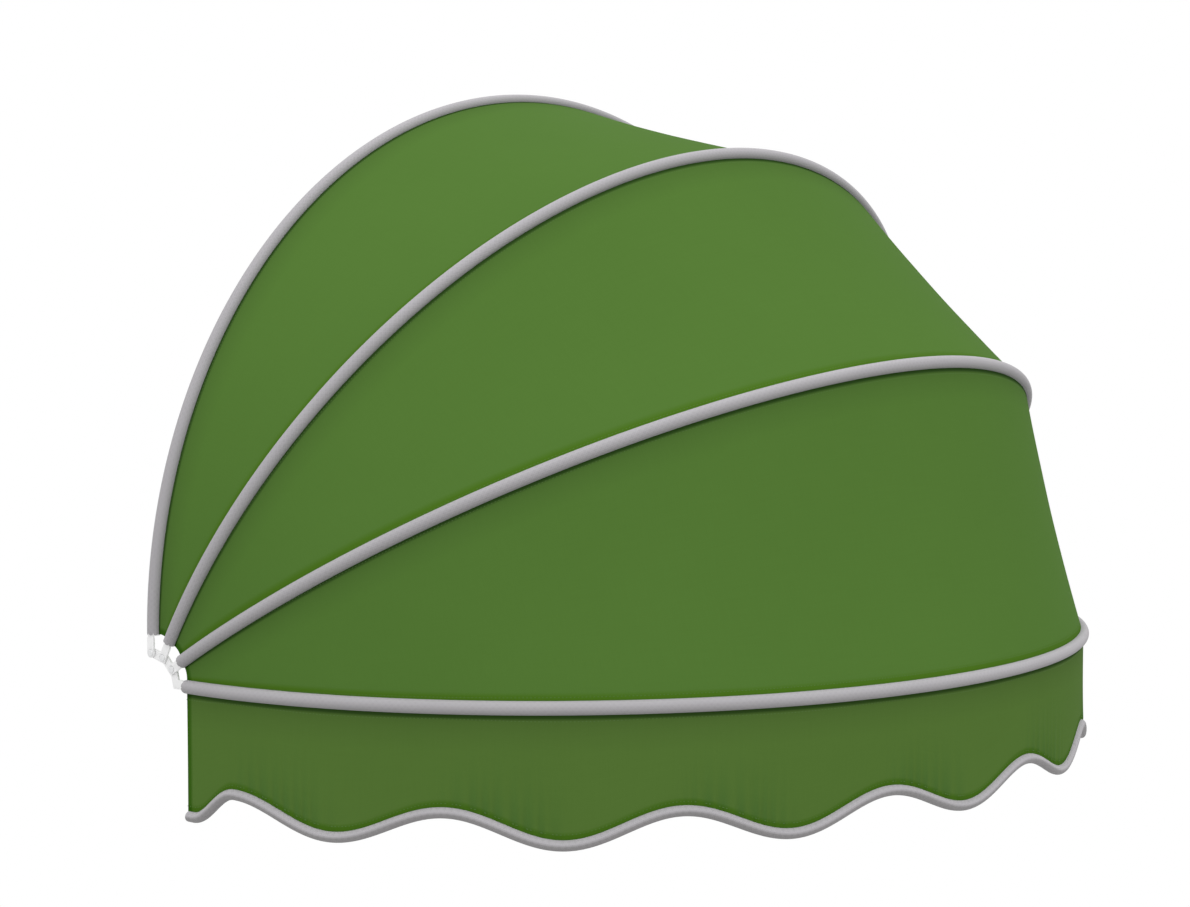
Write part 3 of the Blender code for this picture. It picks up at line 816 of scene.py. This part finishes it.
def valance_point(tree, line, factor, drop):
    """Adds a point of the valance, the height there and how deep it lies in a gather.

    The share called drop runs from the hoop down to the hem.
    """
    under_hoop, run = on_line(tree, line, factor)
    top = TUBE_RADIUS - TUCK
    height = hem_depth(tree, factor) - PIPING_RADIUS + TUCK - top
    fall = top + drop * height
    down = tree.vector(0.0, 0.0, -1.0)
    outward = down.maths("CROSS_PRODUCT", run)
    along = factor * HOOP_LENGTH
    scatter = tree.noise_along(along * 9.0) * GATHER_SCATTER
    pucker = ((along + scatter) * (2.0 * math.pi / GATHER_PITCH)).maths("SINE")
    wave = ((along - END_SCALLOP) * (2.0 * math.pi / SCALLOP_PITCH)).maths("SINE")
    past_crest = (GATHERED_PART - wave).clamped()
    near_hem = drop ** GATHER_REACH * (1.0 - drop ** GATHER_STOP) * past_crest
    broad = tree.noise_along(along * 3.0 + 9.0)
    swing = (broad - 0.5) * drop * (1.0 - drop) * SWING
    stand_out = pucker * near_hem * tree.dial["Gather"] + swing
    # How deep a point lies in a gather, which sets the painted shade in its valley.
    gather = (0.5 - pucker * 0.5) * near_hem
    return under_hoop + down * fall + outward * stand_out, height, gather


# %% The valance sheet
HEM_EDGE = 0.0115

valance_sheet = Shape("valance_sheet", {**VALANCE_DIALS, "Stations": 1201, "Rows": 17})
grid, factor, share = cloth_grid(valance_sheet)
front_line = hoop_line(valance_sheet, QUARTER_TURN)
laid, height, gather = valance_point(valance_sheet, front_line, factor, share)
hemmed = store(valance_sheet, grid, "upper_hem", share * height / UPPER_HEM)
hemmed = store(valance_sheet, hemmed, "lower_hem", (1.0 - share) * height / HEM_EDGE)
hemmed = store(valance_sheet, hemmed, "gather", gather)
lay_cloth(valance_sheet, hemmed, laid, VALANCE_DEPTH)
valance = valance_sheet.build("valance_cloth", valance_green)
give_thickness(valance, CLOTH_THICK)
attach(count(valance), "front_bow")
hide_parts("valance")

# %% [markdown]
# ## The hem piping
#
# The binding round the hem is a cord in a braided cover. It is the same swept tube as a hoop, on a line
# that follows the wave of the hem.

# %% Piping along the hem
PIPING_ROUNDING = 0.0022

piping = Shape("piping", {**VALANCE_DIALS, "Radius": PIPING_RADIUS, "Sides": 20, "Steps": 900})
front_line = evenly(piping, hoop_line(piping, QUARTER_TURN), piping.dial["Steps"])
depth = hem_depth(piping, piping.node("GeometryNodeSplineParameter"))
lowered = piping.vector(0.0, 0.0, depth * -1.0)
hem_line = piping.node("GeometryNodeSetPosition", Geometry=front_line, Offset=lowered)
piping.finish(swept_tube(piping, hem_line, piping.dial["Radius"], piping.dial["Sides"]))
hem_piping = piping.build("hem_piping_braid", hem_braid)
close_ends(hem_piping, PIPING_ROUNDING)
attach(count(hem_piping), "front_bow")
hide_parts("hem_piping")

# %% [markdown]
# ## Stitches
#
# Every seam is sewn, and a seam without thread looks glued. A stitch is a small pod of thread that lies
# half in the cloth, so it shows on both faces. The tree walks a line on the cloth, puts a point at each
# stitch, turns the pod along the line and scatters copies. The pod has two dozen faces, because there
# are hundreds of them.

# %% The stitch tree
STITCH_PITCH = 0.0052
STITCH_LENGTH = 0.0036
THREAD_RADIUS = 0.00062
STITCH_DIALS = {"Pitch Between": STITCH_PITCH, "Length": STITCH_LENGTH, "Thread": THREAD_RADIUS}


def stitched(tree, line, share=None):
    """Adds a row of stitches along a line, and stores the row's share of the way across when one is
    given.
    """
    spaced = tree.node(
        "GeometryNodeResampleCurve", {"mode": "LENGTH"}, Curve=line, Length=tree.dial["Pitch Between"]
    )
    pod = tree.node("GeometryNodeMeshUVSphere", Segments=6, Rings=4, Radius=1.0)
    size = tree.vector(tree.dial["Length"] * 0.5, tree.dial["Thread"], tree.dial["Thread"])
    upright = tree.node("GeometryNodeTransform", Geometry=pod, Rotation=Vector((0.0, math.pi / 2.0, 0.0)))
    pod = tree.node("GeometryNodeTransform", Geometry=upright, Scale=size)
    pod = tree.node("GeometryNodeSetShadeSmooth", Geometry=pod)
    turn = tree.node(
        "FunctionNodeAlignRotationToVector", {"axis": "X"}, Vector=tree.node("GeometryNodeInputTangent")
    )
    copies = tree.node("GeometryNodeInstanceOnPoints", Points=spaced, Instance=pod, Rotation=turn)
    return copies if share is None else store(tree, copies, "share", share, domain="INSTANCE")


def sewn_line(tree, points, place):
    """Adds a line of so many points, each laid at its place on the cloth."""
    line = tree.node("GeometryNodeCurvePrimitiveLine", Start=Vector(), End=Vector((1.0, 0.0, 0.0)))
    return tree.node("GeometryNodeSetPosition", Geometry=evenly(tree, line, points), Position=place)


def join(tree, parts):
    made = tree.nodes.nodes.new("GeometryNodeJoinGeometry")
    for part in parts:
        tree.nodes.links.new(part.socket, made.inputs[0])
    return Link(tree, made.outputs[0])


# %% Stitches along the gores
GORE_ROWS = (0.020, 0.980)
GORE_ROW_POINTS = 400

gore_seam = Shape("gore_seam", {**GORE_DIALS, **STITCH_DIALS})
rows = []
for share in GORE_ROWS:
    factor = gore_seam.node("GeometryNodeSplineParameter")
    laid, span = gore_point(gore_seam, gore_lines(gore_seam), factor, share)
    rows.append(stitched(gore_seam, sewn_line(gore_seam, GORE_ROW_POINTS, laid), share))
gore_seam.finish(join(gore_seam, rows))

for order, cloth in enumerate(gores, 1):
    piece = gore_seam.build(f"gore_{order}_stitches", thread, Turn=order * FAN_PITCH)
    follow_hoops(count(piece))

# %% Stitches along the valance
VALANCE_ROWS = (0.055, 0.955)
VALANCE_ROW_POINTS = 1200

valance_seam = Shape("valance_seam", {**VALANCE_DIALS, **STITCH_DIALS})
rows = []
for drop in VALANCE_ROWS:
    factor = valance_seam.node("GeometryNodeSplineParameter")
    front_line = hoop_line(valance_seam, QUARTER_TURN)
    laid, height, gather = valance_point(valance_seam, front_line, factor, drop)
    rows.append(stitched(valance_seam, sewn_line(valance_seam, VALANCE_ROW_POINTS, laid)))
valance_seam.finish(join(valance_seam, rows))
valance_stitches = valance_seam.build("valance_stitches", thread)
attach(count(valance_stitches), "front_bow")

# %% [markdown]
# ## Plates, saddles and cord guides
#
# These small metal parts have the right form already, but their edges are razor sharp. A copy of each is
# merged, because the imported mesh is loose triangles, and its edges are given the small round that
# folding and coating leave on real plate. A sharp edge never catches the light, and a round one does.

# %% Rounded copies of the plates
WALL_PLACES = ("crown", "left_shoulder", "right_shoulder", "left_foot", "right_foot")
PLATE_ROUNDING = 0.0004
SMALL_ROUNDING = 0.0003
SHARP_ABOVE = math.radians(50.0)
FLAT_BELOW = math.radians(1.0)
PLATE_SMOOTH_BELOW = math.radians(35.0)


def rounded_copy(node, name, finish, width):
    """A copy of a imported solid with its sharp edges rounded."""
    bm = bmesh.new()
    bm.from_mesh(frame["nodes"][node].data)
    bmesh.ops.remove_doubles(bm, verts=bm.verts, dist=MERGE)
    bmesh.ops.dissolve_limit(bm, angle_limit=FLAT_BELOW, verts=bm.verts, edges=bm.edges)
    sharp = [e for e in bm.edges if len(e.link_faces) == 2 and e.calc_face_angle() > SHARP_ABOVE]
    round_edges(bm, sharp, width, 2)
    mesh = bpy.data.meshes.new(name)
    bm.to_mesh(mesh)
    bm.free()
    mesh.materials.clear()
    mesh.materials.append(finish)
    smooth(mesh, PLATE_SMOOTH_BELOW)
    piece = add_piece(name, mesh)
    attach(count(piece), frame["nodes"][node]["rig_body"])
    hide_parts(node)
    return piece


for hoop in HOOPS:
    for end in (f"{hoop}_left", f"{hoop}_right"):
        rounded_copy(end + "_end", end + "_plate", white, PLATE_ROUNDING)
for place in WALL_PLACES:
    rounded_copy(place + "_saddle", place + "_bracket", white, PLATE_ROUNDING)
for hoop in HOOPS[1:]:
    rounded_copy(f"{hoop}_cord_eye", f"{hoop}_eye", zinc, SMALL_ROUNDING)
rounded_copy("pulley_strap", "pulley_case", zinc, SMALL_ROUNDING)

# %% [markdown]
# ## Rivets, screws and the pulley's wheel
#
# Turned pieces come from a profile that is spun about an axis. The profile lists distances along the
# axis and radii. One tree then puts copies of a turned piece wherever the frame has one: the carrier
# mesh has a point for each place, and an attribute with the turn of the axis.

# %% A turned piece and its copies
def turned(name, profile, sides, hexagon=(), bored=False):
    """A mesh spun about x. Rows in hexagon have six flats, as a socket has; a bored piece has no ends."""
    bm = bmesh.new()
    rings = []
    for number, (along, radius) in enumerate(profile):
        ring = []
        for k in range(sides):
            angle = 2.0 * math.pi * k / sides
            flat = math.cos((angle + math.pi / 6.0) % (math.pi / 3.0) - math.pi / 6.0)
            reach = radius / flat if number in hexagon else radius
            ring.append(bm.verts.new((along, reach * math.cos(angle), reach * math.sin(angle))))
        rings.append(ring)
    for ring, after in zip(rings, rings[1:] + rings[:1] if bored else rings[1:]):
        for k in range(sides):
            following = (k + 1) % sides
            bm.faces.new((ring[k], ring[following], after[following], after[k]))
    if not bored:
        bm.faces.new(rings[0])
        bm.faces.new(rings[-1])
    bmesh.ops.recalc_face_normals(bm, faces=bm.faces)
    mesh = bpy.data.meshes.new(name)
    bm.to_mesh(mesh)
    bm.free()
    smooth(mesh)
    return mesh


copies = Shape("copies", {"Piece": bpy.types.Object})
piece_info = copies.node("GeometryNodeObjectInfo", Object=copies.dial["Piece"]).out("Geometry")
turn = copies.node("FunctionNodeEulerToRotation", Euler=named(copies, "turn", "FLOAT_VECTOR"))
copies.finish(
    copies.node("GeometryNodeInstanceOnPoints", Points=copies.base, Instance=piece_info, Rotation=turn)
)


def middle_of(node):
    return sum(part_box(node), Vector()) / 2.0


def put_copies(name, mesh, nodes, directions, finish, body):
    """Makes one piece with a copy of a turned mesh at the middle of each node that it replaces."""
    pattern = add_piece(name + "_pattern", mesh)
    base = bpy.data.meshes.new(name + "_places")
    base.from_pydata([middle_of(node) for node in nodes], [], [])
    turns = base.attributes.new("turn", "FLOAT_VECTOR", "POINT")
    for item, direction in zip(turns.data, directions):
        item.vector = Vector(direction).to_track_quat("X", "Z").to_euler()
    piece = copies.build(name, finish, base, Piece=pattern)
    bpy.data.objects.remove(pattern)
    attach(count(piece), body)
    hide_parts(*nodes)


def dome(start, radius, height, steps=5):
    """Profile rows of a domed head that rises from a radius at start to its top."""
    turns = [math.pi / 2.0 * k / steps for k in range(steps)]
    return [(start + height * math.sin(turn), radius * math.cos(turn)) for turn in turns]


def mirrored(rows):
    """The other half of a profile whose rows start at its middle."""
    return [(-along, radius) for along, radius in reversed(rows)]


def two_headed(half, head, head_high, shank):
    """The profile of a pin with a domed head at each end."""
    seat = half - head_high
    rows = [(seat, shank)] + dome(seat, head, head_high)
    return mirrored(rows) + rows


# %% Hinge rivets
RIVET_HEAD = 0.0055
RIVET_HEAD_HIGH = 0.0020
RIVET_SHANK = 0.0030
PIN_SIDES = 24
for order in (1, 2, 3):
    nodes = [f"{HOOPS[order]}_left_pin", f"{HOOPS[order]}_right_pin"]
    low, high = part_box(nodes[0])
    profile = two_headed((high.x - low.x) / 2.0, RIVET_HEAD, RIVET_HEAD_HIGH, RIVET_SHANK)
    rivet = turned(f"rivet_{order}", profile, PIN_SIDES)
    put_copies(
        f"{HOOPS[order]}_rivets", rivet, nodes, [(1, 0, 0), (1, 0, 0)], zinc, BODIES[order - 1]
    )

# %% Saddle screws
SCREW_HEAD = 0.0040
SCREW_HEAD_HIGH = 0.0024
SCREW_SHANK = 0.0019
SOCKET_FLAT = 0.0013
SOCKET_FLOOR = 0.0009
screws = [f"{place}_screw" for place in WALL_PLACES]


def inward_at(node):
    """The direction from the wall hoop's tube to the inside of the arch, at a node."""
    middle = middle_of(node)
    rise = middle.z - HUB.z - HUB_TO_END
    return -Vector((middle.x / HALF_WIDTH**2, 0.0, rise / HOOP_RISE**2)).normalized()


low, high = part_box("crown_screw")
screw_half = (high.z - low.z) / 2.0
under_head = screw_half - SCREW_HEAD_HIGH
tip = [(-screw_half, SCREW_SHANK * 0.4), (-screw_half + SCREW_SHANK, SCREW_SHANK)]
head = dome(under_head, SCREW_HEAD, SCREW_HEAD_HIGH)[:-1]
socket = [(screw_half, SOCKET_FLAT), (under_head + SOCKET_FLOOR, SOCKET_FLAT)]
profile = tip + [(under_head, SCREW_SHANK)] + head + socket
screw = turned("screw", profile, PIN_SIDES, hexagon=(len(profile) - 2, len(profile) - 1))
inwards = [inward_at(node) for node in screws]
put_copies("saddle_screws", screw, screws, inwards, zinc, "wall_frame")

# %% The pulley's wheel and axle
wheel_axis = Vector(next(joint["axis"] for joint in frame["joints"] if joint["name"] == "wheel_turn"))
WHEEL_RADIUS = (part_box("pulley_wheel")[1].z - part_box("pulley_wheel")[0].z) / 2.0
WHEEL_HALF = 0.0040
WHEEL_BORE = 0.0026
GROOVE_DEPTH = 0.0030
GROOVE_HALF = 0.0026
RIM_ROUND = 0.0006
WEB_HALF = WHEEL_HALF * 0.8
WEB_EDGE = WHEEL_RADIUS * 0.8
BOSS_FOOT = WHEEL_BORE * 1.9
BOSS_TOP = WHEEL_BORE * 1.7
WHEEL_SIDES = 48
groove = [
    (GROOVE_HALF * math.sin(turn), WHEEL_RADIUS - GROOVE_DEPTH * math.cos(turn))
    for turn in (math.pi / 12.0 * k for k in range(-6, 7))
]
rim = [(WHEEL_HALF - RIM_ROUND, WHEEL_RADIUS), (WHEEL_HALF, WHEEL_RADIUS - RIM_ROUND)]
web = [(WEB_HALF, WEB_EDGE), (WEB_HALF, BOSS_FOOT)]
boss = [(WHEEL_HALF, BOSS_TOP), (WHEEL_HALF, WHEEL_BORE)]
half_profile = rim + web + boss
wheel = turned("wheel", mirrored(half_profile) + groove + half_profile, WHEEL_SIDES, bored=True)
put_copies("pulley_sheave", wheel, ["pulley_wheel"], [wheel_axis], nylon, "cord_wheel")

AXLE_HEAD = 0.0038
AXLE_HEAD_HIGH = 0.0014
AXLE_SHANK = 0.0022
low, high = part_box("pulley_axle")
axle_half = ((high.x - low.x) / 2.0 - AXLE_HEAD * abs(wheel_axis.z)) / abs(wheel_axis.x)
axle = turned("axle", two_headed(axle_half, AXLE_HEAD, AXLE_HEAD_HIGH, AXLE_SHANK), PIN_SIDES)
put_copies("pulley_pin", axle, ["pulley_axle"], [wheel_axis], zinc, "wall_frame")

# %% [markdown]
# ## Light, floor and camera
#
# The light is a studio's: a dome that is brighter overhead, and one large soft panel above and in front,
# so that slopes that face up are brighter than the valance, as in the photograph. The camera sees the
# world as pure white through Is Camera Ray, and so do polished surfaces through Is Glossy Ray, while the
# dome that lights the object stays at its own level. The floor fades into that white towards its rim.

# %% World and panel
DOME_LEVEL = 0.90
DOME_SLOPE = 0.55
PANEL_PLACE = Vector((-1.6, -2.6, 2.6))
PANEL_WIDTH = 2.6
PANEL_POWER = 25.0
PURE_WHITE = (1.0, 1.0, 1.0, 1.0)


def seen_rays(tree):
    """Adds 1 for rays from the camera, a reflection or glass, and 0 for the light on an object."""
    rays = tree.node("ShaderNodeLightPath")
    seen = rays.maths("MAXIMUM", rays.out("Is Glossy Ray"))
    return seen.maths("MAXIMUM", rays.out("Is Transmission Ray"))


world = bpy.data.worlds.new("studio")
world.use_nodes = True
bpy.context.scene.world = world
sky = Tree(world.node_tree)
sky.nodes.nodes.clear()
up = sky.node("ShaderNodeSeparateXYZ", Vector=sky.node("ShaderNodeTexCoord").out("Generated")).out("Z")
dome_light = (1.0 + up * DOME_SLOPE) * DOME_LEVEL
level = dome_light + seen_rays(sky) * (1.0 - dome_light)
background = sky.node("ShaderNodeBackground", Color=PURE_WHITE, Strength=level)
sky.node("ShaderNodeOutputWorld", Surface=background)


middle_of_awning = (Vector(cad_box[0]) + Vector(cad_box[1])) / 2.0
lamp = bpy.data.lights.new("top_panel", "AREA")
lamp.size = PANEL_WIDTH
lamp.energy = PANEL_POWER
panel = add_piece("top_panel", lamp)
panel.location = PANEL_PLACE
panel.rotation_euler = (middle_of_awning - PANEL_PLACE).to_track_quat("-Z", "Y").to_euler()
print(f"a panel {PANEL_WIDTH} m wide, {(PANEL_PLACE - middle_of_awning).length:.1f} m from the awning")

# %% Floor
FLOOR_DROP = 1.35
FLOOR_RADIUS = 3.0
FLOOR_GREY = (0.6, 0.6, 0.6, 1.0)
FLOOR_GLOW = 0.55
FADE_FROM = 0.2
bm = bmesh.new()
bmesh.ops.create_circle(bm, cap_ends=True, segments=96, radius=FLOOR_RADIUS)
floor_mesh = bpy.data.meshes.new("floor")
bm.to_mesh(floor_mesh)
bm.free()
floor_mesh.transform(Matrix.Translation((0.0, middle_of_awning.y, cad_box[0][2] - FLOOR_DROP)))
floor = add_piece("floor", floor_mesh)
pale = Finish("pale_floor", Roughness=0.9, Base_Color=FLOOR_GREY)
split = pale.node("ShaderNodeSeparateXYZ", Vector=pale.place())
across = split.out("Y") - middle_of_awning.y
out = (split * split + across * across).maths("SQRT") / FLOOR_RADIUS
fade = FLOOR_GLOW + (1.0 - FLOOR_GLOW) * ((out - FADE_FROM) / (1.0 - FADE_FROM)).clamped()
glow = pale.node("ShaderNodeEmission", Color=PURE_WHITE, Strength=1.0)
surface = Link(pale, pale.shader.outputs[0])
mixed = pale.numbered("ShaderNodeMixShader", {}, {0: seen_rays(pale) * fade, 1: surface, 2: glow})
pale.nodes.links.new(mixed.socket, pale.nodes.nodes["Material Output"].inputs["Surface"])
floor_mesh.materials.append(pale.material)
print(f"a floor {FLOOR_DROP} m below the awning")

# %% [markdown]
# ## The camera
#
# Its place and lens were worked out from the photograph.

# %% Camera
FOCAL_LENGTH = 59.225
SENSOR_WIDTH = 36.0
CAMERA_PLACE = Vector((-2.6900, -2.2183, -0.4322))
LOOK_DOWN = math.radians(2.692)
LOOK_RIGHT = math.radians(51.818)
lens = bpy.data.cameras.new("camera")
lens.lens = FOCAL_LENGTH
lens.sensor_width = SENSOR_WIDTH
lens.sensor_fit = "HORIZONTAL"
lens.clip_start = 0.05
lens.clip_end = 60.0
camera = add_piece("camera", lens)
camera.location = CAMERA_PLACE
camera.rotation_euler = (QUARTER_TURN - LOOK_DOWN, 0.0, -LOOK_RIGHT)
bpy.context.scene.camera = camera
bpy.context.scene.view_settings.view_transform = "Standard"
print(f"a lens of {FOCAL_LENGTH} mm, {(CAMERA_PLACE - middle_of_awning).length:.1f} m from the awning")
